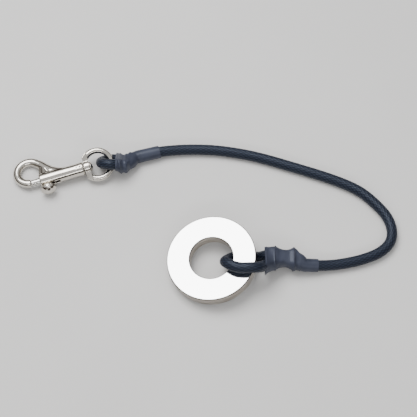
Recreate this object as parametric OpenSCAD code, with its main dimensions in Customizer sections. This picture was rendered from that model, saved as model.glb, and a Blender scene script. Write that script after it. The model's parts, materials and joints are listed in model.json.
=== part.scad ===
// A short elastic tie: a swivel-eye bolt snap, a braided elastic cord looped at both ends, and a steel ring.
// Millimetres. +X runs from the snap towards the cord's bend, +Y away from the ring, +Z up. z = 0 is the
// surface that everything lies on, and the origin is below the middle of the parts that aren't cord.

/* [Cord] */
// Diameter of the cord over its braid
cord_d = 10; // [9.6:0.1:10]
// Thickness of the braided cover
braid_t = 1.4; // [1:0.1:1.8]
// Sides of the cord's solids
cord_sides = 12; // [8:2:12]

/* [Shrink sleeves and crimps] */
// Wall of the shrink sleeves
sleeve_wall = 0.9; // [0.6:0.1:1.2]
// Wall of the crimps under the sleeves
crimp_wall = 0.8; // [0.5:0.1:0.8]
// Gap between a sleeve and what it grips
grip_gap = 0.25; // [0.2:0.05:0.3]

/* [Ring] */
// Outer diameter of the ring
ring_d = 82; // [80:0.5:82]
// Diameter of the hole
ring_hole_d = 40; // [39.5:0.5:41]
// Thickness of the ring
ring_t = 12; // [11:0.5:12]
// Radius of the ring's rounded edges
ring_edge_r = 1; // [0.5:0.25:1.5]
// How far the ring leans, lying on the cord
ring_lean = 9.3; // [9.2:0.1:9.6]

/* [Bolt snap] */
// Length of the barrel
barrel_len = 43; // [42:0.5:44]
// Diameter of the barrel at its front
barrel_d = 13.4; // [13:0.1:13.6]
// Diameter of the barrel near the swivel
barrel_tail_d = 12; // [11.5:0.1:12.5]
// Radius of the hook, to the middle of its bar
hook_r = 12.1; // [11.9:0.1:12.3]
// Thickness of the hook's bar
hook_bar_d = 7.4; // [7:0.1:7.6]
// Diameter of the sliding bolt
bolt_d = 6; // [5.6:0.1:6]
// How far the bolt slides back
bolt_travel = 9.5; // [8.5:0.5:9.5]
// Clearance round the bolt and the pin
running_gap = 0.05; // [0.03:0.01:0.1]
// Diameter of the thumb button
button_d = 15; // [13:0.5:15]

/* [Swivel] */
// Outer diameter of the swivel eye
eye_d = 32.6; // [32:0.2:33]
// Thickness of the eye's bar at its base
eye_bar_d = 6.4; // [6:0.1:6.6]
// Thickness of the eye's bar where the cord goes round it
eye_tip_d = 5; // [4.6:0.1:5]
// Diameter of the swivel pin
pin_d = 5; // [4.6:0.1:5]
// Diameter of the pin's domed head
pin_head_d = 9.2; // [8:0.2:9.4]

/* [Hidden] */
$fn = 64;

// How the snap lies: the swivel's place, its heading, its rise towards the cord, and the roll of each half.
swivel_at = [-75.6, 55.1, 9.8];
snap_heading = 16.5;
snap_rise = 3.8;
snap_roll = 5.8;
eye_roll = 18;

// How the ring lies: its middle, and the direction of its raised side.
ring_r = ring_d / 2;
ring_at = [45.5, -42, ring_t / 2 * cos(ring_lean) + ring_r * sin(ring_lean)];
ring_raised_towards = 17;

// The snap, along its own x: the swivel gap at 0, the hook at negative x, the hook's bulge on +y.
hook_at = [-50.6, hook_r];
hook_nose_angle = 264;
hook_neck_angle = 50;
hook_hole_r = hook_r - hook_bar_d / 2;
bolt_tip_x = -51.4;
bolt_end_x = -30;
bolt_bore_end_x = -9;
// Spheres [x, y, radius] that the hook's neck and the web below it are drawn round
neck = [[-42.8, 21.4, 3.7], [-38.6, 17.3, 4.1], [-35, 12, 4.7], [-30.5, 6.6, 5.3], [-24, 2.2, 5.8],
    [-17, 0.3, 6]];
web = [[-38, 2.5, 5.9], [-37, 12, 4.3]];
casting_sides = 24;
// The two punch marks that hold the swivel pin
stakes_x = [-3.4, -7];
stake_d = 2;
// The blade that joins the bolt to its thumb button, and the button's rim and top
stud_x = -37;
stud_len = 6;
stud_w = 3.2;
stud_gap = 0.2;
button_in_y = -9.5;
button_rim_y = -11;
button_top_y = -15.8;
spring_wire_d = 0.8;
spring_d = 4.4;
spring_turns = 9;
spring_turn_steps = 12;
spring_end_gap = 0.1;
eye_end_angle = 150;
eye_step = 10;
eye_sides = 28;
eye_x = 13;
eye_base = [0.6, 5.6];
pin_end_gap = 0.1;

// The cord's route between its loops, by hand.
cord_r = cord_d / 2;
RUN = [[-18.8, 71.1, 6.5], [-4.8, 75, 6.1], [10.2, 77.2, 5.4], [23.2, 78.1, 5], [36.2, 78, 5],
    [49.2, 77.2, 5], [67.2, 74.6, 5], [85.2, 70.7, 5], [102.2, 65.7, 5], [119.2, 60, 5], [136.2, 54.2, 5],
    [152.2, 48.4, 5], [164.2, 43.6, 5], [176.2, 37.9, 5], [185.2, 32.3, 5], [193.2, 25.4, 5],
    [202.2, 15.4, 5], [208.7, 5.9, 5], [212.2, -5.1, 5], [211.8, -15.6, 5], [207.2, -24.3, 5],
    [197.2, -32.1, 5], [181.2, -38.4, 5], [163.2, -42.4, 5], [151.2, -43.9, 5.6], [142.2, -44.5, 6.6],
    [133.2, -44.6, 7.6]];

// Every other section along a route is [x, y, z, lean, spread, wide, high]: its middle, the lean of its width
// from +Y towards +Z, half the spacing of the two runs of cord in it (0 for a single run), and the half-width
// and half-height of each run. The necks are where the cord's two runs lie side by side in a crimp.
SNAP_NECK = [[-34.6, 60.6, 10.1, -25, 4.3, 4.1, 4.9], [-36.4, 60.1, 10.4, -28, 4, 3.8, 4.9],
    [-38.4, 59.6, 10.9, -31, 3.9, 3.6, 4.6], [-40.4, 59.5, 11.3, -35, 4.3, 3.7, 4.6],
    [-43, 60.4, 11.7, -41, 5.8, 4.7, 5]];
RING_NECK = [[122.7, -40, 9.6, 0, 4.3, 4.1, 4.9], [119.7, -39.9, 10, 0, 4.1, 3.8, 4.9],
    [116.2, -39.9, 10.6, 0, 3.5, 3.3, 4.8], [111.7, -39.8, 11.7, 0, 3, 2.7, 4.6],
    [107.2, -40, 12.9, 0, 3.5, 3.3, 4.8], [103.2, -40.6, 14.2, 0, 4.1, 3.8, 4.9],
    [97.6, -42.6, 15.9, -12, 5.2, 4.7, 5]];
SNAP_LEAD = [[-18.8, 71.1, 6.5, 0, 0, 5, 5], [-24.8, 69.3, 6.7, 0, 0, 5, 5],
    [-29.8, 66.8, 7.4, -10, 0, 5, 5]];
RING_LEAD = [[133.2, -44.6, 7.6, 0, 0, 5, 5], [127.2, -44.7, 8.4, 0, 0, 5, 5]];
SNAP_BIGHT = [[-46.8, 67.2, 5.6, -20, 0, 5, 4.9], [-50.9, 67.4, 4.9, 0, 0, 5.1, 4.7],
    [-54.8, 66.9, 5, 10, 0, 5, 4.9], [-58.2, 64.6, 6.9, 30, 0, 5, 5], [-59.6, 61.4, 10.5, 40, 0, 5, 5],
    [-59, 58.4, 14, 45, 0, 5, 5], [-56.8, 56.2, 16.8, 30, 0, 5, 5], [-53, 54.9, 18.4, 0, 0, 5, 5],
    [-48.6, 54.8, 18.3, -20, 0, 5, 5]];
RING_BIGHT = [[92.8, -50.4, 19.6, 0, 0, 5, 5], [90.4, -53.4, 23.6, 0, 0, 5, 5], [86.6, -56, 28.1, 0, 0, 5, 5],
    [79.6, -57, 29.6, 0, 0, 5, 5], [71.6, -56.8, 28.7, 10, 0, 5, 5], [65.8, -55.2, 27.8, 30, 0, 5, 5],
    [61, -52.4, 26.6, 40, 0, 5, 5], [57.9, -49.2, 23.8, 45, 0, 5, 5], [57.2, -46, 18.6, 45, 0, 5, 5],
    [58.2, -42.2, 12.3, 40, 0, 5, 5], [60.7, -38.4, 7.3, 30, 0, 5, 5], [64.9, -35.6, 4.8, 10, 0, 5.2, 4.6],
    [72.6, -34.2, 4.8, 0, 0, 5.2, 4.6], [81.2, -35, 4.9, 0, 0, 5, 4.8], [87.6, -36.2, 6.9, 0, 0, 5, 5],
    [91.6, -37.2, 10.9, 0, 0, 5, 5], [94.4, -37.6, 13.6, 0, 0, 5, 5]];
SNAP_LOOP = concat(SNAP_LEAD, one_run(SNAP_NECK, 1), SNAP_BIGHT, reversed(one_run(SNAP_NECK, -1)));
RING_LOOP = concat(RING_LEAD, one_run(RING_NECK, -1), RING_BIGHT, reversed(one_run(RING_NECK, 1)));

// The insides of the crimps and sleeves, which follow the necks.
lip = 0.8;
SNAP_CRIMP = crimp_on(SNAP_NECK, [0, 0, lip]);
RING_CRIMP = crimp_on(RING_NECK, [lip, 0, 0, 0, lip]);
SNAP_SLEEVE = concat([[-45.4, 60.7, 12.6, -43, 7.2, 6.6, 5.6], [-43.2, 60.3, 12, -41, 6, 6.4, 5.7]],
    over(SNAP_CRIMP), [grown(SNAP_NECK[0], 1), [-32.1, 63.6, 9, -15, 2.4, 6.1, 5.5],
    [-28.3, 67.6, 7.1, -10, 0, 5.4, 5.3], [-24.8, 69.3, 6.7, 0, 0, 5.2, 5.2],
    [-18.8, 71.1, 6.5, 0, 0, 5.2, 5.2], [-11.8, 73.05, 6.3, 0, 0, 5.1, 5.1],
    [-4.8, 75, 6.1, 0, 0, 5.1, 5.1]]);
RING_SLEEVE = concat([[93.4, -44.8, 17.2, -16, 6.4, 6.9, 7.5], [97.6, -42.7, 16, -12, 5.4, 5.9, 6.7]],
    over(RING_CRIMP), [grown(RING_NECK[0], 0.7), [126, -42.2, 9, 0, 2.2, 5.4, 5.4],
    [129.7, -44.7, 8.1, 0, 0, 5.3, 5.3], [133.2, -44.6, 7.6, 0, 0, 5.2, 5.2],
    [137.7, -44.55, 7.1, 0, 0, 5.1, 5.1], [142.2, -44.5, 6.6, 0, 0, 5.1, 5.1]]);

// Steps between two hand-set points where a route is smoothed
loop_steps = 2;
sleeve_sides = 28;

// ---- paths and skins ----

function unit(v) = v / norm(v);
function place(s) = [s[0], s[1], s[2]];
function catmull(p, q, r, s, u) =
    q + u * (r - p) / 2 + u * u * (p - 2.5 * q + 2 * r - s / 2) + u * u * u * (1.5 * (q - r) + (s - p) / 2);
function smooth(c, steps) = [for (i = [0:len(c) - 2]) for (k = [0:steps - 1])
    catmull(c[max(i - 1, 0)], c[i], c[i + 1], c[min(i + 2, len(c) - 1)], k / steps), c[len(c) - 1]];
function heading(s, i) = unit(place(s[min(i + 1, len(s) - 1)]) - place(s[max(i - 1, 0)]));

function across(s) = [0, cos(s[3]), sin(s[3])];

// One of the two runs of cord in a neck, on the side of its width that side gives
function one_run(neck, side) = [for (s = neck)
    let (p = place(s) + side * s[4] * across(s)) [p[0], p[1], p[2], s[3], 0, s[5], s[6]]];
function grown(s, by) = [s[0], s[1], s[2], s[3], s[4], s[5] + by, s[6] + by];

// The inside of a crimp on a neck, from its second section on, opened by openings, and of the sleeve over it
function crimp_on(neck, openings) = [for (i = [len(openings):-1:1])
    grown(neck[i], grip_gap + openings[i - 1])];
function over(crimp) = [for (s = crimp) grown(s, crimp_wall + grip_gap)];

// The outline of section i of a route, widened by grow; where two runs lie in it, it stands square to x
function rim(s, i, grow, sides) =
    let (t = s[i][4] > 0 ? [1, 0, 0] : heading(s, i), a = across(s[i]), n = unit(a - (a * t) * t),
        m = cross(t, n))
    [for (k = [0:sides - 1]) let (c = cos(360 * k / sides))
        place(s[i]) + (sign(c) * s[i][4] + (s[i][5] + grow) * c) * n
            + (s[i][6] + grow) * sin(360 * k / sides) * m];
function rims(s, grow, sides) = [for (i = [0:len(s) - 1]) rim(s, i, grow, sides)];
function reversed(list) = [for (i = [len(list) - 1:-1:0]) list[i]];

// A round cord along plain points, level side first, so that it never meets a heading along its own width
function round_rims(p, r, sides) = [for (i = [0:len(p) - 1])
    let (t = heading(p, i), n = unit(cross([0, 0, 1], t)), m = cross(t, n))
    [for (k = [0:sides - 1]) p[i] + r * cos(360 * k / sides) * n + r * sin(360 * k / sides) * m]];

// The triangles between rims, the first of which starts at point first
function walls(count, sides, first) = [for (i = [0:count - 2]) for (k = [0:sides - 1])
    let (a = first + i * sides + k, b = first + i * sides + (k + 1) % sides)
    each [[a, a + sides, b + sides], [a, b + sides, b]]];

// A solid through a row of rims
module skin(rows) {
    sides = len(rows[0]);
    last = (len(rows) - 1) * sides;
    caps = [[for (k = [0:sides - 1]) k], [for (k = [sides - 1:-1:0]) last + k]];
    polyhedron(points = [for (row = rows) each row], faces = concat(walls(len(rows), sides, 0), caps));
}

// A tube between two rows of rims
module tube_skin(outer, inner) {
    sides = len(outer[0]);
    count = len(outer);
    first = count * sides;
    last = (count - 1) * sides;
    ends = [for (k = [0:sides - 1]) let (j = (k + 1) % sides)
        each [[k, j, first + j], [k, first + j, first + k],
            [last + k, first + last + k, first + last + j], [last + k, first + last + j, last + j]]];
    inside = [for (f = walls(count, sides, first)) reversed(f)];
    polyhedron(points = [for (row = concat(outer, inner)) each row],
        faces = concat(walls(count, sides, 0), inside, ends));
}

// ---- the cord ----

module cord_braid() {
    color("#2b2f3a")
        tube_skin(round_rims(RUN, cord_r, cord_sides), round_rims(RUN, cord_r - braid_t, cord_sides));
}

module cord_core() {
    color("#b9a98a") skin(round_rims(RUN, cord_r - braid_t, cord_sides));
}

module loop_braid(route) {
    path = smooth(route, loop_steps);
    color("#23262f") tube_skin(rims(path, 0, cord_sides), rims(path, -braid_t, cord_sides));
}

module loop_core(route) {
    color("#b9a98a") skin(rims(smooth(route, loop_steps), -braid_t, cord_sides));
}

module snap_loop_braid() {
    loop_braid(SNAP_LOOP);
}

module snap_loop_core() {
    loop_core(SNAP_LOOP);
}

module ring_loop_braid() {
    loop_braid(RING_LOOP);
}

module ring_loop_core() {
    loop_core(RING_LOOP);
}

// ---- crimps and shrink sleeves ----

module band(inside, wall) {
    tube_skin(rims(inside, wall, sleeve_sides), rims(inside, 0, sleeve_sides));
}

module snap_crimp() {
    color("#b8bcc0") band(SNAP_CRIMP, crimp_wall);
}

module ring_crimp() {
    color("#b8bcc0") band(RING_CRIMP, crimp_wall);
}

module snap_sleeve() {
    color("#4b4e5f") band(SNAP_SLEEVE, sleeve_wall);
}

module ring_sleeve() {
    color("#4b4e5f") band(RING_SLEEVE, sleeve_wall);
}

// ---- the ring ----

function corner(x, y, from) = [for (a = [from:18:from + 90])
    [x + ring_edge_r * cos(a), y + ring_edge_r * sin(a)]];

module ring() {
    inner = ring_hole_d / 2 + ring_edge_r;
    outer = ring_r - ring_edge_r;
    top = ring_t / 2 - ring_edge_r;
    color("#e6e8ea") translate(ring_at) rotate([0, 0, ring_raised_towards]) rotate([0, -ring_lean, 0])
        rotate_extrude($fn = 96)
            polygon(concat(corner(outer, top, 0), corner(inner, top, 90), corner(inner, -top, 180),
                corner(outer, -top, 270)));
}

// ---- the snap ----

module lay_snap(roll) {
    translate(swivel_at) rotate([0, 0, snap_heading]) rotate([0, -snap_rise, 0]) rotate([roll, 0, 0])
        children();
}

// A solid of revolution along +x: outline holds [x, radius] points
module turned(outline) {
    rotate([90, 0, 90]) rotate_extrude() polygon([for (p = outline) [p[1], p[0]]]);
}

module rod(from_x, to_x, d) {
    translate([from_x, 0, 0]) rotate([0, 90, 0]) cylinder(h = to_x - from_x, d = d);
}

module barrel() {
    r = barrel_d / 2;
    tail_r = barrel_tail_d / 2;
    collar_r = tail_r + 0.3;
    turned([[-barrel_len, 0], [-barrel_len, r - 0.8], [0.8 - barrel_len, r], [-30, r], [-8, tail_r],
        [-4, collar_r], [-1.2, collar_r], [-0.3, collar_r - 0.7], [0, collar_r - 1.5], [0, 0]]);
}

module ball(p) {
    translate([p[0], p[1], 0]) sphere(r = p[2], $fn = casting_sides);
}

module hook() {
    translate(hook_at) rotate([0, 0, hook_neck_angle])
        rotate_extrude(angle = hook_nose_angle - hook_neck_angle) translate([hook_r, 0])
            circle(d = hook_bar_d);
    for (i = [0:len(neck) - 2]) hull() {
        ball(neck[i]);
        ball(neck[i + 1]);
    }
    hull() {
        ball(web[0]);
        ball(web[1]);
    }
}

// The slot the button's blade slides in
module stud_slot() {
    translate([stud_x - stud_len / 2 - stud_gap, -barrel_d, -stud_w / 2 - stud_gap])
        cube([stud_len + bolt_travel + 2 * stud_gap, barrel_d, stud_w + 2 * stud_gap]);
}

module snap_body() {
    color("#c9cac8") lay_snap(-snap_roll) difference() {
        union() {
            barrel();
            hook();
        }
        rod(-barrel_len - 1, bolt_bore_end_x, bolt_d + 2 * running_gap);
        rod(bolt_bore_end_x - 1, 1, pin_d);
        stud_slot();
        translate([hook_at[0], hook_at[1], -barrel_d]) cylinder(r = hook_hole_r, h = 2 * barrel_d);
        for (x = stakes_x) translate([x, -1, barrel_tail_d / 2 + stake_d / 4]) sphere(d = stake_d);
    }
}

module stud_blade() {
    root_y = -1;
    tip_y = button_in_y - 0.6;
    translate([stud_x - stud_len / 2, tip_y, -stud_w / 2]) cube([stud_len, root_y - tip_y, stud_w]);
}

module snap_bolt() {
    r = bolt_d / 2;
    color("#b4b5b2") lay_snap(-snap_roll) difference() {
        turned([[bolt_tip_x, 0], [bolt_tip_x, r - 0.4], [bolt_tip_x + 0.4, r], [bolt_end_x - 0.5, r],
            [bolt_end_x, r - 0.5], [bolt_end_x, 0]]);
        stud_blade();
    }
}

module thumb_button() {
    r = button_d / 2;
    color("#c4c5c2") lay_snap(-snap_roll) {
        translate([stud_x, 0, 0]) rotate([90, 0, 0]) rotate_extrude()
            polygon([[0, -button_in_y], [r - 2.4, -button_in_y], [r - 0.8, -button_in_y - 0.2],
                [r, -button_rim_y], [r - 0.5, -button_rim_y + 1.6], [r - 2.4, -button_rim_y + 3.2],
                [r - 4.8, -button_top_y - 0.4], [0, -button_top_y]]);
        stud_blade();
    }
}

// The middle of the spring's wire, from the bolt's end to the swivel pin
function spring_path() =
    let (steps = spring_turn_steps * spring_turns, from = bolt_end_x + spring_wire_d / 2 + spring_end_gap,
        length = bolt_bore_end_x - spring_wire_d / 2 - spring_end_gap - from)
    [for (i = [0:steps]) let (a = 360 * i / spring_turn_steps)
        [from + length * i / steps, spring_d / 2 * cos(a), spring_d / 2 * sin(a)]];

module bolt_spring() {
    path = spring_path();
    rows = [for (i = [0:len(path) - 1])
        let (t = heading(path, i), n = unit([0, path[i][1], path[i][2]]), m = cross(t, n))
        [for (k = [0:5]) path[i] + spring_wire_d / 2 * (cos(60 * k) * n + sin(60 * k) * m)]];
    color("#8d9094") lay_snap(-snap_roll) skin(rows);
}

module swivel_pin() {
    head_r = pin_head_d / 2;
    base = eye_base[1] + pin_end_gap;
    color("#c4c5c2") lay_snap(-snap_roll)
        turned([[bolt_bore_end_x, 0], [bolt_bore_end_x, pin_d / 2], [base, pin_d / 2], [base, head_r - 0.3],
            [base + 0.8, head_r], [base + 1.9, head_r - 0.8], [base + 2.6, head_r - 2.2], [base + 2.9, 0]]);
}

// The outline of the eye's bar at an angle from the cord's end; its outer side stays round as it thickens
function eye_rim(a) =
    let (r = (eye_tip_d + (eye_bar_d - eye_tip_d) * sin(a / 2) * sin(a / 2)) / 2, middle = eye_d / 2 - r)
    [for (k = [0:eye_sides - 1])
        let (turn = 360 * k / eye_sides, out = middle + r * cos(turn))
        [eye_x + out * cos(a), out * sin(a), -r * sin(turn)]];

// The eye's ring, cut off flat where its base begins
module eye_ring() {
    difference() {
        skin([for (a = [-eye_end_angle:eye_step:eye_end_angle]) eye_rim(a)]);
        translate([eye_base[0] - eye_d, -eye_d, -eye_d]) cube([eye_d, 2 * eye_d, 2 * eye_d]);
    }
}

// The eye's flat base, which follows the ring's outline
module eye_base_bar() {
    intersection() {
        translate([eye_base[0], -eye_d / 2, -eye_bar_d / 2])
            cube([eye_base[1] - eye_base[0], eye_d, eye_bar_d]);
        translate([eye_x, 0, -eye_d / 2]) cylinder(d = eye_d - 1.2, h = eye_d);
    }
}

module swivel_eye() {
    color("#cfd0ce") lay_snap(eye_roll) difference() {
        union() {
            eye_ring();
            eye_base_bar();
            rod(eye_base[0], eye_base[1], barrel_tail_d);
        }
        rod(eye_base[0] - 1, eye_base[1] + 1, pin_d + 2 * running_gap);
    }
}

snap_body();
snap_bolt();
thumb_button();
bolt_spring();
swivel_pin();
swivel_eye();
cord_braid();
cord_core();
snap_loop_braid();
snap_loop_core();
ring_loop_braid();
ring_loop_core();
snap_crimp();
ring_crimp();
snap_sleeve();
ring_sleeve();
ring();
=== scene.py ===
"""The look of a short elastic tie: a nickel bolt snap, a braided elastic cord and a polished ring."""
import json
import math

import bpy
import numpy as np
from mathutils import Matrix, Vector


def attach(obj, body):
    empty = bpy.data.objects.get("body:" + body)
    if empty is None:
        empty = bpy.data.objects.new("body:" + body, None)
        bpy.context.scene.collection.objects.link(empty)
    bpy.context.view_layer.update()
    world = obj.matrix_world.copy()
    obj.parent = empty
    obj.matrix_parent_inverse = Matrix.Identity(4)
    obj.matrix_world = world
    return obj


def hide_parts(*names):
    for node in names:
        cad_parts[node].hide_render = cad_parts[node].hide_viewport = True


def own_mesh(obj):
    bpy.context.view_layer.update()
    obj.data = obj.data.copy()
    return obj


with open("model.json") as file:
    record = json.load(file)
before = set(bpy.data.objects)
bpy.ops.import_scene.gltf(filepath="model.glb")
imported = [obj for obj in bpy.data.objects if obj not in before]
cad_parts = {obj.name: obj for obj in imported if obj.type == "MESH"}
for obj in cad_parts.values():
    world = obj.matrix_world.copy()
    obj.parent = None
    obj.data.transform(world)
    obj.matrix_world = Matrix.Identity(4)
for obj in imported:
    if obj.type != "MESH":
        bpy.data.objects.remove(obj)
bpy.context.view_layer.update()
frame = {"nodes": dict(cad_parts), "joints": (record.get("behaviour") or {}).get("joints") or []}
NODES = frame["nodes"]
MM = 0.001

# ---- camera ----

CAMERA_AIM = Vector((0.0422, 0.0174, 0.0))
CAMERA_ELEVATION = math.radians(63)
CAMERA_DISTANCE = 1.3
CAMERA_LENS = 119.4
SENSOR_WIDTH = 36
NEAREST_SEEN = 0.05


def make_camera():
    data = bpy.data.cameras.new("camera")
    data.lens = CAMERA_LENS
    data.sensor_width = SENSOR_WIDTH
    data.clip_start = NEAREST_SEEN
    camera = bpy.data.objects.new("camera", data)
    bpy.context.collection.objects.link(camera)
    away = Vector((0, -math.cos(CAMERA_ELEVATION), math.sin(CAMERA_ELEVATION)))
    camera.location = CAMERA_AIM + CAMERA_DISTANCE * away
    camera.rotation_euler = (math.pi / 2 - CAMERA_ELEVATION, 0, 0)
    bpy.context.scene.camera = camera


# ---- the cord's routes, as in the CAD, in millimetres ----

CORD_R = 5.0
RUN = [
    (-18.8, 71.1, 6.5), (-4.8, 75, 6.1), (10.2, 77.2, 5.4), (23.2, 78.1, 5), (36.2, 78, 5), (49.2, 77.2, 5),
    (67.2, 74.6, 5), (85.2, 70.7, 5), (102.2, 65.7, 5), (119.2, 60, 5), (136.2, 54.2, 5), (152.2, 48.4, 5),
    (164.2, 43.6, 5), (176.2, 37.9, 5), (185.2, 32.3, 5), (193.2, 25.4, 5), (202.2, 15.4, 5), (208.7, 5.9, 5),
    (212.2, -5.1, 5), (211.8, -15.6, 5), (207.2, -24.3, 5), (197.2, -32.1, 5), (181.2, -38.4, 5),
    (163.2, -42.4, 5), (151.2, -43.9, 5.6), (142.2, -44.5, 6.6), (133.2, -44.6, 7.6),
]
# Each section is (x, y, z, lean, spread, wide, high): its middle, the lean of its width from +Y towards +Z,
# half the spacing of the two runs of cord in it, and each run's half-width and half-height.
SNAP_NECK = [
    (-34.6, 60.6, 10.1, -25, 4.3, 4.1, 4.9), (-36.4, 60.1, 10.4, -28, 4, 3.8, 4.9),
    (-38.4, 59.6, 10.9, -31, 3.9, 3.6, 4.6), (-40.4, 59.5, 11.3, -35, 4.3, 3.7, 4.6),
    (-43, 60.4, 11.7, -41, 5.8, 4.7, 5),
]
RING_NECK = [
    (122.7, -40, 9.6, 0, 4.3, 4.1, 4.9), (119.7, -39.9, 10, 0, 4.1, 3.8, 4.9),
    (116.2, -39.9, 10.6, 0, 3.5, 3.3, 4.8), (111.7, -39.8, 11.7, 0, 3, 2.7, 4.6),
    (107.2, -40, 12.9, 0, 3.5, 3.3, 4.8), (103.2, -40.6, 14.2, 0, 4.1, 3.8, 4.9),
    (97.6, -42.6, 15.9, -12, 5.2, 4.7, 5),
]
SNAP_LEAD = [(-18.8, 71.1, 6.5, 0, 0, 5, 5), (-24.8, 69.3, 6.7, 0, 0, 5, 5), (-29.8, 66.8, 7.4, -10, 0, 5, 5)]
RING_LEAD = [(133.2, -44.6, 7.6, 0, 0, 5, 5), (127.2, -44.7, 8.4, 0, 0, 5, 5)]
SNAP_BIGHT = [
    (-46.8, 67.2, 5.6, -20, 0, 5, 4.9), (-50.9, 67.4, 4.9, 0, 0, 5.1, 4.7), (-54.8, 66.9, 5, 10, 0, 5, 4.9),
    (-58.2, 64.6, 6.9, 30, 0, 5, 5), (-59.6, 61.4, 10.5, 40, 0, 5, 5), (-59, 58.4, 14, 45, 0, 5, 5),
    (-56.8, 56.2, 16.8, 30, 0, 5, 5), (-53, 54.9, 18.4, 0, 0, 5, 5), (-48.6, 54.8, 18.3, -20, 0, 5, 5),
]
RING_BIGHT = [
    (92.8, -50.4, 19.6, 0, 0, 5, 5), (90.4, -53.4, 23.6, 0, 0, 5, 5), (86.6, -56, 28.1, 0, 0, 5, 5),
    (79.6, -57, 29.6, 0, 0, 5, 5), (71.6, -56.8, 28.7, 10, 0, 5, 5), (65.8, -55.2, 27.8, 30, 0, 5, 5),
    (61, -52.4, 26.6, 40, 0, 5, 5), (57.9, -49.2, 23.8, 45, 0, 5, 5), (57.2, -46, 18.6, 45, 0, 5, 5),
    (58.2, -42.2, 12.3, 40, 0, 5, 5), (60.7, -38.4, 7.3, 30, 0, 5, 5), (64.9, -35.6, 4.8, 10, 0, 5.2, 4.6),
    (72.6, -34.2, 4.8, 0, 0, 5.2, 4.6), (81.2, -35, 4.9, 0, 0, 5, 4.8), (87.6, -36.2, 6.9, 0, 0, 5, 5),
    (91.6, -37.2, 10.9, 0, 0, 5, 5), (94.4, -37.6, 13.6, 0, 0, 5, 5),
]


def across(section):
    lean = math.radians(section[3])
    return np.array([0, math.cos(lean), math.sin(lean)])


def one_run(neck, side):
    """One of the two runs of cord in a neck."""
    runs = []
    for s in neck:
        middle = np.array(s[:3]) + side * s[4] * across(s)
        runs.append((*middle, s[3], 0, s[5], s[6]))
    return runs


SNAP_LOOP = SNAP_LEAD + one_run(SNAP_NECK, 1) + SNAP_BIGHT + one_run(SNAP_NECK, -1)[::-1]
RING_LOOP = RING_LEAD + one_run(RING_NECK, -1) + RING_BIGHT + one_run(RING_NECK, 1)[::-1]


def smooth(points, step):
    """A Catmull-Rom curve through the points, in steps of about that many millimetres."""
    p = np.array(points, float)
    out = []
    for i in range(len(p) - 1):
        a, b, c, d = p[max(i - 1, 0)], p[i], p[i + 1], p[min(i + 2, len(p) - 1)]
        count = max(1, round(np.linalg.norm((c - b)[:3]) / step))
        for u in np.arange(count) / count:
            bend = a - 2.5 * b + 2 * c - d / 2
            twist = 1.5 * (b - c) + (d - a) / 2
            out.append(b + u * (c - a) / 2 + u**2 * bend + u**3 * twist)
    out.append(p[-1])
    return np.array(out)


def relaxed(path, passes):
    """The same rows, evened out, with both ends kept."""
    for _ in range(passes):
        path = path.copy()
        path[1:-1] = (path[:-2] + 2 * path[1:-1] + path[2:]) / 4
    return path


def headings(path):
    t = np.gradient(path[:, :3], axis=0)
    return t / np.linalg.norm(t, axis=1)[:, None]


def lengths(path):
    """The distance along the path to each of its points."""
    return np.concatenate([[0], np.cumsum(np.linalg.norm(np.diff(path[:, :3], axis=0), axis=1))])


# ---- meshes ----


def new_object(name, verts, faces, body, *, transform=None):
    mesh = bpy.data.meshes.new(name)
    points = np.asarray(verts, float)
    mesh.from_pydata((points * MM).tolist(), [], [list(map(int, f)) for f in faces])
    mesh.validate()
    if transform is not None:
        mesh.transform(transform)
    mesh.shade_smooth()
    mesh.update()
    obj = bpy.data.objects.new(name, mesh)
    bpy.context.collection.objects.link(obj)
    obj["rides"] = body
    return obj


def loft(rows, *, wrap=False):
    """Vertices and faces of a skin through rows of points; wrap joins the last row to the first."""
    count, sides = rows.shape[:2]
    verts = rows.reshape(-1, 3)
    i = np.arange(count if wrap else count - 1)[:, None]
    k = np.arange(sides)[None, :]
    j = (i + 1) % count
    a, b = i * sides + k, i * sides + (k + 1) % sides
    c, d = j * sides + (k + 1) % sides, j * sides + k
    faces = np.stack([a, b, c, d], axis=-1).reshape(-1, 4).tolist()
    if not wrap:
        faces.append(list(range(sides))[::-1])
        faces.append([(count - 1) * sides + k for k in range(sides)])
    return verts, faces


# ---- the braided cord ----

BRAID_SIDES = 72
BRAID_CARRIERS = 12
BRAID_PITCH = 2.6
BRAID_DEPTH = 0.36
BRAID_STEP = 0.55
# How many times each route is evened out
RUN_EASING = 30
LOOP_EASING = 12


def braid(angle, along):
    """The height, 0 to 1, of a plain braid's ribbons at an angle round the cord and a distance along it."""
    u = BRAID_CARRIERS * angle / (2 * math.pi) + along / (2 * BRAID_PITCH)
    v = BRAID_CARRIERS * angle / (2 * math.pi) - along / (2 * BRAID_PITCH)
    over = (np.floor(u) + np.floor(v)) % 2 < 1
    width = np.where(over, u, v) % 1
    length = np.where(over, v, u) % 1
    crown = 1 - np.abs(2 * width - 1) ** 3
    return crown * (0.55 + 0.45 * np.sin(math.pi * length))


def cord_mesh(name, path, half_wide, half_high, normals):
    """A braided tube along path, whose sections' width runs along normals."""
    t = headings(path)
    n = normals - np.sum(normals * t, axis=1)[:, None] * t
    n /= np.linalg.norm(n, axis=1)[:, None]
    m = np.cross(t, n)
    angle = 2 * math.pi * np.arange(BRAID_SIDES) / BRAID_SIDES
    height = braid(angle[None, :], lengths(path)[:, None])
    drop = BRAID_DEPTH * (height - 1)
    wide = (half_wide[:, None] + drop) * np.cos(angle)
    high = (half_high[:, None] + drop) * np.sin(angle)
    rows = path[:, None, :] + wide[..., None] * n[:, None, :] + high[..., None] * m[:, None, :]
    obj = new_object(name, *loft(rows), "tie")
    # The ribbons' height is kept for the material, which paints shade into the grooves from it
    attribute = obj.data.attributes.new("weave", "FLOAT", "POINT")
    attribute.data.foreach_set("value", height.reshape(-1).astype(np.float32))
    return obj


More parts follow.
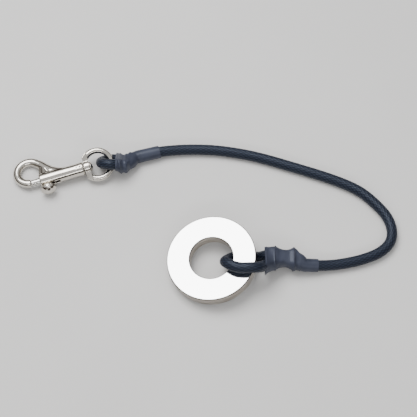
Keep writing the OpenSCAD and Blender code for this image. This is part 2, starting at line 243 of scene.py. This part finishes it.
def make_run():
    path = relaxed(smooth(RUN, BRAID_STEP), RUN_EASING)
    normals = np.cross(np.array([0, 0, 1.0]), headings(path))
    radius = np.full(len(path), CORD_R)
    return cord_mesh("elastic_cord", path, radius, radius, normals), path


def make_loop(name, route):
    path = relaxed(smooth(route, BRAID_STEP), LOOP_EASING)
    normals = np.array([across(s) for s in path])
    return cord_mesh(name, path[:, :3], path[:, 5], path[:, 6], normals), path[:, :3]


def make_cords():
    run, run_path = make_run()
    snap_loop, snap_path = make_loop("snap_end_loop", SNAP_LOOP)
    ring_loop, ring_path = make_loop("ring_end_loop", RING_LOOP)
    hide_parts("cord_braid", "cord_core")
    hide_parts("snap_loop_braid", "snap_loop_core")
    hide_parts("ring_loop_braid", "ring_loop_core")
    return [run, snap_loop, ring_loop]


# ---- the shrink sleeves ----

CRIMP_WALL = 0.8
GRIP_GAP = 0.25
SLEEVE_WALL = 0.9
LIP = 0.8
OVER_CRIMP = CRIMP_WALL + 2 * GRIP_GAP


def grown(section, by):
    return (*section[:5], section[5] + by, section[6] + by)


SNAP_SLEEVE = [
    (-45.4, 60.7, 12.5, -42, 6.5, 6.3, 5.6),
    (-43.2, 60.3, 12, -41, 6, 6.4, 5.7),
    grown(SNAP_NECK[3], OVER_CRIMP + LIP),
    grown(SNAP_NECK[2], OVER_CRIMP),
    grown(SNAP_NECK[1], OVER_CRIMP),
    grown(SNAP_NECK[0], 1),
    (-32.1, 63.6, 9, -15, 2.4, 6.1, 5.5),
    (-28.3, 67.6, 7.1, -10, 0, 5.4, 5.3),
    (-24.8, 69.3, 6.7, 0, 0, 5.25, 5.25),
    (-18.8, 71.1, 6.5, 0, 0, 5.2, 5.2),
    (-11.8, 73.05, 6.3, 0, 0, 5.15, 5.15),
    (-4.8, 75, 6.1, 0, 0, 5.1, 5.1),
]
RING_SLEEVE = [
    (93.4, -44.8, 17.2, -16, 6.4, 6.9, 7.5),
    (97.6, -42.7, 16, -12, 5.4, 5.9, 6.7),
    grown(RING_NECK[5], OVER_CRIMP + LIP),
    grown(RING_NECK[4], OVER_CRIMP),
    grown(RING_NECK[3], OVER_CRIMP),
    grown(RING_NECK[2], OVER_CRIMP),
    grown(RING_NECK[1], OVER_CRIMP + LIP),
    grown(RING_NECK[0], 0.7),
    (126, -42.2, 9, 0, 2.2, 5.4, 5.4),
    (129.7, -44.7, 8.1, 0, 0, 5.3, 5.3),
    (133.2, -44.6, 7.6, 0, 0, 5.2, 5.2),
    (137.7, -44.55, 7.1, 0, 0, 5.15, 5.15),
    (142.2, -44.5, 6.6, 0, 0, 5.1, 5.1),
]
# Where each sleeve stands up in a ridge over its crimp's edges: the place along x, the height and the width
SNAP_RIDGES = [(-44.6, 0.25, 0.5), (-40.9, 0.6, 0.6), (-36, 0.35, 0.6)]
RING_RIDGES = [(94.3, 0.3, 0.5), (103.2, 0.75, 0.7), (119.7, 0.7, 0.7)]
SLEEVE_SIDES = 96
SLEEVE_STEP = 0.35
INNER_GAP = 0.05
CUT_EDGE = 0.2
# Where the two runs lie this far apart or more, the sleeve is a neck, with a waist pressed in between them
NECK_SPREAD = 2.4
WAIST_SPREAD = 3
WAIST_DEPTH = 0.3
WAIST_WIDTH = 0.35
LOBE_STEEPNESS = 6
PUCKER_HEIGHT = 0.07
CREASE_HEIGHT = 0.06


def neck_share(path):
    """How much of a neck the sleeve is at each row, 0 to 1."""
    return np.clip(path[:, 4] / NECK_SPREAD, 0, 1)[:, None]


def ridges_at(path, ridges):
    """How far the ridges and the fine puckers beside them stand up, for each row and angle."""
    angle = 2 * math.pi * np.arange(SLEEVE_SIDES) / SLEEVE_SIDES
    x = path[:, 0][:, None]
    total = np.zeros((len(path), SLEEVE_SIDES))
    for place, height, width in ridges:
        slant = place + 0.7 * np.sin(angle + place) + 0.3 * np.sin(3 * angle)
        total += height * np.exp(-(((x - slant) / width) ** 2))
        pucker = np.sin(13 * angle + place) + 0.6 * np.sin(21 * angle - 2 * place)
        total += PUCKER_HEIGHT * pucker * np.exp(-(((x - slant - 1.5) / 2.2) ** 2))
    creases = np.sin(2.1 * x + 2 * angle) * np.sin(1.3 * x - 5 * angle)
    return total + CREASE_HEIGHT * neck_share(path) * creases


def sleeve_rows(route, grow, ridges=()):
    """Rows round both runs of cord: two lobes side by side in a neck, and one round tube beyond it."""
    path = smooth(route, SLEEVE_STEP)
    t = headings(path)
    neck = neck_share(path)
    t = t * (1 - neck) + np.array([1.0, 0, 0]) * neck
    t /= np.linalg.norm(t, axis=1)[:, None]
    n = np.array([across(s) for s in path])
    n -= np.sum(n * t, axis=1)[:, None] * t
    n /= np.linalg.norm(n, axis=1)[:, None]
    m = np.cross(t, n)
    angle = 2 * math.pi * np.arange(SLEEVE_SIDES) / SLEEVE_SIDES
    cos, sin = np.cos(angle)[None, :], np.sin(angle)[None, :]
    spread, wide, high = (path[:, i][:, None] for i in (4, 5, 6))
    side = np.tanh(LOBE_STEEPNESS * cos)
    pressed = np.minimum(spread, WAIST_SPREAD) / WAIST_SPREAD
    waist = pressed * WAIST_DEPTH * np.exp(-((cos / WAIST_WIDTH) ** 2))
    out = grow + (ridges_at(path, ridges) if ridges else 0)
    x = side * spread + (wide + out) * cos
    y = (high + out - waist) * sin
    return path[:, None, :3] + x[..., None] * n[:, None, :] + y[..., None] * m[:, None, :]


def make_sleeve(name, node, route, ridges):
    outer = sleeve_rows(route, SLEEVE_WALL, ridges)
    inner = sleeve_rows(route, INNER_GAP)
    rows = np.concatenate([outer, inner[::-1]])
    obj = new_object(name, *loft(rows, wrap=True), "tie")
    bevel_rims(obj)
    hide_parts(node)
    return obj


def bevel_rims(obj):
    """Rounds the two cut ends of a sleeve."""
    bevel = obj.modifiers.new("cut edge", "BEVEL")
    bevel.width = CUT_EDGE * MM
    bevel.segments = 2
    bevel.angle_limit = math.radians(50)


# ---- the ring ----

RING_AT = Vector((45.5, -42, 0))
RING_LEAN = 9.3
RING_TOWARDS = 17
RING_R, RING_HOLE_R, RING_T, RING_EDGE = 41.0, 20.0, 12.0, 1.0
RING_SIDES = 256
EDGE_STEPS = 8


def ring_profile():
    """The ring's cross-section, and for each point 0 on a flat face, 1 on a wall, and between on an edge."""
    half = RING_T / 2
    corners = [
        (RING_R - RING_EDGE, half - RING_EDGE, 0), (RING_HOLE_R + RING_EDGE, half - RING_EDGE, 90),
        (RING_HOLE_R + RING_EDGE, RING_EDGE - half, 180), (RING_R - RING_EDGE, RING_EDGE - half, 270),
    ]
    points, walls = [], []
    for x, z, start in corners:
        for turn in np.linspace(start, start + 90, EDGE_STEPS + 1):
            a = math.radians(turn)
            points.append((x + RING_EDGE * math.cos(a), z + RING_EDGE * math.sin(a)))
            walls.append(abs(turn / 90 % 2 - 1))
    return points, walls


def revolved(profile, sides):
    """Rows of a solid of revolution round z from (radius, height) points."""
    p = np.array(profile, float)
    angle = 2 * math.pi * np.arange(sides) / sides
    heights = np.tile(p[:, 1], (sides, 1))
    return np.stack([np.outer(np.cos(angle), p[:, 0]), np.outer(np.sin(angle), p[:, 0]), heights], axis=-1)


def make_ring():
    lean = math.radians(RING_LEAN)
    height = RING_T / 2 * math.cos(lean) + RING_R * math.sin(lean)
    place = (
        Matrix.Translation((RING_AT + Vector((0, 0, height))) * MM)
        @ Matrix.Rotation(math.radians(RING_TOWARDS), 4, "Z")
        @ Matrix.Rotation(-lean, 4, "Y")
    )
    points, walls = ring_profile()
    rows = revolved(points, RING_SIDES)
    obj = new_object("metal_ring", *loft(rows, wrap=True), "ring", transform=place)
    attribute = obj.data.attributes.new("wall", "FLOAT", "POINT")
    attribute.data.foreach_set("value", np.tile(np.array(walls, np.float32), RING_SIDES))
    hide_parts("ring")
    return obj


# ---- the snap ----


def round_off(name, voxel, passes, plating):
    """Rounds the corners of a CAD part, as casting and polishing do, and adds back what that takes off."""
    node = NODES[name]
    remesh = node.modifiers.new("even mesh", "REMESH")
    remesh.mode = "VOXEL"
    remesh.voxel_size = voxel * MM
    remesh.use_smooth_shade = True
    soften = node.modifiers.new("soften", "SMOOTH")
    soften.factor = 0.5
    soften.iterations = passes
    grow = node.modifiers.new("plating", "DISPLACE")
    grow.strength = plating * MM
    grow.mid_level = 0


# The size of the mesh each part is rounded on, how many times it is softened, and what is added back, in mm
ROUNDING = {
    "snap_body": (0.26, 26, 0.2),
    "swivel_eye": (0.24, 12, 0.12),
    "thumb_button": (0.2, 6, 0.04),
    "swivel_pin": (0.16, 5, 0.02),
    "snap_bolt": (0.16, 4, 0.01),
}


def make_snap():
    for name, (voxel, passes, plating) in ROUNDING.items():
        round_off(name, voxel, passes, plating)


def make_spring():
    """The bolt's spring as a piece of its own, riding on the snap."""
    slide = next(j for j in frame["joints"] if j["name"] == "bolt_slide")
    axis = Vector(slide["axis"])
    spring = bpy.data.objects.new("coil_spring", NODES["bolt_spring"].data.copy())
    bpy.context.collection.objects.link(spring)
    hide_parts("bolt_spring")
    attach(spring, "snap")
    along = np.array([v.co.dot(axis) for v in spring.data.vertices])
    far_end = spring.data.vertices[int(along.argmax())].co
    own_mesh(spring)
    return spring


# ---- materials ----


def new_material(name):
    material = bpy.data.materials.new(name)
    material.use_nodes = True
    tree = material.node_tree
    shader = tree.nodes["Principled BSDF"]
    return material, tree, shader


def add(tree, kind, **values):
    node = tree.nodes.new(kind)
    for key, value in values.items():
        if key in node.inputs:
            node.inputs[key].default_value = value
        else:
            setattr(node, key, value)
    return node


def noise(tree, scale, detail=4.0, stretch=(1, 1, 1)):
    """A noise in the object's own metres, stretched along an axis."""
    place = add(tree, "ShaderNodeTexCoord")
    mapping = add(tree, "ShaderNodeMapping", Scale=stretch)
    texture = add(tree, "ShaderNodeTexNoise", Scale=scale, Detail=detail)
    tree.links.new(place.outputs["Object"], mapping.inputs["Vector"])
    tree.links.new(mapping.outputs["Vector"], texture.inputs["Vector"])
    return texture.outputs["Fac"]


def ramp(tree, value, stops):
    node = add(tree, "ShaderNodeValToRGB")
    for i, (position, colour) in enumerate(stops):
        element = node.color_ramp.elements[i] if i < 2 else node.color_ramp.elements.new(position)
        element.position = position
        element.color = (*colour, 1)
    tree.links.new(value, node.inputs["Fac"])
    return node.outputs["Color"]


def levels(tree, value, low, high):
    """value from 0..1 to low..high."""
    node = add(tree, "ShaderNodeMapRange")
    node.inputs["To Min"].default_value = low
    node.inputs["To Max"].default_value = high
    tree.links.new(value, node.inputs["Value"])
    return node.outputs["Result"]


def bump(tree, shader, height, strength, distance):
    node = add(tree, "ShaderNodeBump", Strength=strength, Distance=distance)
    tree.links.new(height, node.inputs["Height"])
    tree.links.new(node.outputs["Normal"], shader.inputs["Normal"])


def metal(name, colour, dull, roughness, grain, depth):
    """A polished plated metal with faint grain and slightly uneven polish."""
    material, tree, shader = new_material(name)
    shader.inputs["Metallic"].default_value = 1.0
    polish = noise(tree, 180.0, 3.0)
    tree.links.new(ramp(tree, polish, [(0.35, dull), (0.65, colour)]), shader.inputs["Base Color"])
    tree.links.new(levels(tree, polish, *roughness), shader.inputs["Roughness"])
    bump(tree, shader, noise(tree, grain, 2.0), depth, 0.0001)
    return material


def ring_material():
    """Polished faces, rounded edges painted dark as a painted reflection of the dim surroundings, and turned
    walls whose streaky tan tone is a painted reflection of the warm surroundings, with faint turning marks as
    bump.
    """
    material, tree, shader = new_material("polished_ring")
    shader.inputs["Metallic"].default_value = 1.0
    wall = add(tree, "ShaderNodeAttribute", attribute_name="wall").outputs["Fac"]
    lathe = noise(tree, 60.0, 3.0, stretch=(1, 1, 14))
    # The walls' streaky tan tone is a painted reflection of warm surroundings, streaked along the turning;
    # the same noise also gives real turning marks as bump
    painted_wall_reflection = ramp(tree, lathe, [(0.35, (0.30, 0.25, 0.20)), (0.65, (0.62, 0.58, 0.53))])
    # edge: near-black colour on the rounded edges, a painted reflection of the dim surroundings
    face, edge = (0.96, 0.96, 0.96), (0.06, 0.05, 0.045)
    tone = ramp(tree, wall, [(0.1, face), (0.3, edge), (0.7, edge), (0.85, (1, 1, 1))])
    mix = add(tree, "ShaderNodeMix", data_type="RGBA", blend_type="MULTIPLY")
    on_wall = add(tree, "ShaderNodeMath", operation="GREATER_THAN")
    on_wall.inputs[1].default_value = 0.5
    tree.links.new(wall, on_wall.inputs[0])
    tree.links.new(on_wall.outputs["Value"], mix.inputs["Factor"])
    tree.links.new(tone, mix.inputs["A"])
    tree.links.new(painted_wall_reflection, mix.inputs["B"])
    tree.links.new(mix.outputs["Result"], shader.inputs["Base Color"])
    tree.links.new(levels(tree, wall, 0.04, 0.2), shader.inputs["Roughness"])
    bump(tree, shader, lathe, 0.05, 0.0001)
    return material


def cord_material():
    material, tree, shader = new_material("braided_polyester")
    weave = add(tree, "ShaderNodeAttribute", attribute_name="weave")
    height = weave.outputs["Fac"]
    # Base colour: the cord's dark navy on the ribbons' crowns, painted far darker in the grooves between them
    # as painted shade
    tree.links.new(
        ramp(tree, height, [(0.25, (0.0006, 0.0008, 0.0014)), (0.9, (0.015, 0.02, 0.036))]),
        shader.inputs["Base Color"],
    )
    tree.links.new(levels(tree, height, 0.6, 0.3), shader.inputs["Roughness"])
    shader.inputs["Sheen Weight"].default_value = 0.03
    shader.inputs["Sheen Roughness"].default_value = 0.5
    shader.inputs["Sheen Tint"].default_value = (0.5, 0.6, 0.9, 1)
    shader.inputs["Specular IOR Level"].default_value = 0.3
    shader.inputs["Specular Tint"].default_value = (0.72, 0.82, 1.0, 1)
    bump(tree, shader, noise(tree, 2600.0, 2.0), 0.35, 0.0002)
    return material


def sleeve_material():
    material, tree, shader = new_material("shrink_tube")
    mottle = noise(tree, 90.0, 5.0)
    tree.links.new(
        ramp(tree, mottle, [(0.3, (0.022, 0.026, 0.042)), (0.7, (0.040, 0.046, 0.072))]),
        shader.inputs["Base Color"],
    )
    tree.links.new(levels(tree, mottle, 0.36, 0.5), shader.inputs["Roughness"])
    shader.inputs["Specular IOR Level"].default_value = 0.4
    shader.inputs["Specular Tint"].default_value = (0.85, 0.9, 1.0, 1)
    bump(tree, shader, noise(tree, 700.0, 4.0), 0.25, 0.0002)
    return material


def floor_material():
    material, tree, shader = new_material("pale_floor")
    tone = noise(tree, 6.0, 3.0)
    tree.links.new(
        ramp(tree, tone, [(0.3, (0.66, 0.655, 0.645)), (0.7, (0.69, 0.685, 0.675))]),
        shader.inputs["Base Color"],
    )
    shader.inputs["Roughness"].default_value = 0.75
    return material


def dress(obj, material):
    obj.data.materials.clear()
    obj.data.materials.append(material)


def dress_node(name, material):
    for slot in NODES[name].material_slots:
        slot.material = material


# ---- the studio ----

FLOOR_SIZE = 60
TENT_STRENGTH = 0.85
LIGHTS_AIM = (0.04, 0, 0)
# Each light's place and size in metres, and its power in watts
LIGHTS = {
    "key": ((-0.36, 0.5, 1.3), (1.0, 0.9), 24),
    "strip": ((0.1, -1.2, 0.9), (1.4, 0.12), 5),
}


def make_floor():
    bpy.ops.mesh.primitive_plane_add(size=FLOOR_SIZE, location=(0, 0, 0))
    floor = bpy.context.object
    floor.name = "studio_floor"
    dress(floor, floor_material())


def area_light(name, place, size, power):
    data = bpy.data.lights.new(name, "AREA")
    data.shape = "RECTANGLE"
    data.size, data.size_y = size
    data.energy = power
    light = bpy.data.objects.new(name, data)
    bpy.context.collection.objects.link(light)
    light.location = place
    light.rotation_euler = (Vector(LIGHTS_AIM) - Vector(place)).to_track_quat("-Z", "Y").to_euler()


def make_world():
    """A bright tent overhead with a dim warm band low down, which the metal mirrors."""
    world = bpy.data.worlds.new("studio")
    bpy.context.scene.world = world
    world.use_nodes = True
    tree = world.node_tree
    background = tree.nodes["Background"]
    place = add(tree, "ShaderNodeTexCoord")
    split = add(tree, "ShaderNodeSeparateXYZ")
    tree.links.new(place.outputs["Generated"], split.inputs["Vector"])
    low = [(0.0, (0.04, 0.026, 0.017)), (0.22, (0.07, 0.05, 0.036))]
    high = [(0.42, (0.42, 0.41, 0.4)), (0.65, (0.95, 0.95, 0.96))]
    sky = ramp(tree, split.outputs["Z"], low + high)
    tree.links.new(sky, background.inputs["Color"])
    background.inputs["Strength"].default_value = TENT_STRENGTH


def make_studio():
    make_floor()
    make_world()
    for name, (place, size, power) in LIGHTS.items():
        area_light(name, place, size, power)


# ---- everything ----

make_camera()
cords = make_cords()
sleeves = [
    make_sleeve("snap_shrink_sleeve", "snap_sleeve", SNAP_SLEEVE, SNAP_RIDGES),
    make_sleeve("ring_shrink_sleeve", "ring_sleeve", RING_SLEEVE, RING_RIDGES),
]
ring = make_ring()
make_snap()
spring = make_spring()

braided = cord_material()
shrink = sleeve_material()
nickel = metal("nickel_plate", (0.64, 0.61, 0.56), (0.56, 0.53, 0.48), (0.06, 0.13), 900.0, 0.12)
bright = metal("turned_steel", (0.62, 0.61, 0.58), (0.54, 0.53, 0.5), (0.1, 0.18), 1500.0, 0.15)
for obj in cords:
    dress(obj, braided)
for obj in sleeves:
    dress(obj, shrink)
dress(ring, ring_material())
for name in ("snap_body", "swivel_eye", "thumb_button", "swivel_pin"):
    dress_node(name, nickel)
for name in ("snap_bolt", "snap_crimp", "ring_crimp"):
    dress_node(name, bright)
dress(spring, bright)
for obj in [*cords, *sleeves, ring]:
    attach(obj, obj["rides"])
make_studio()
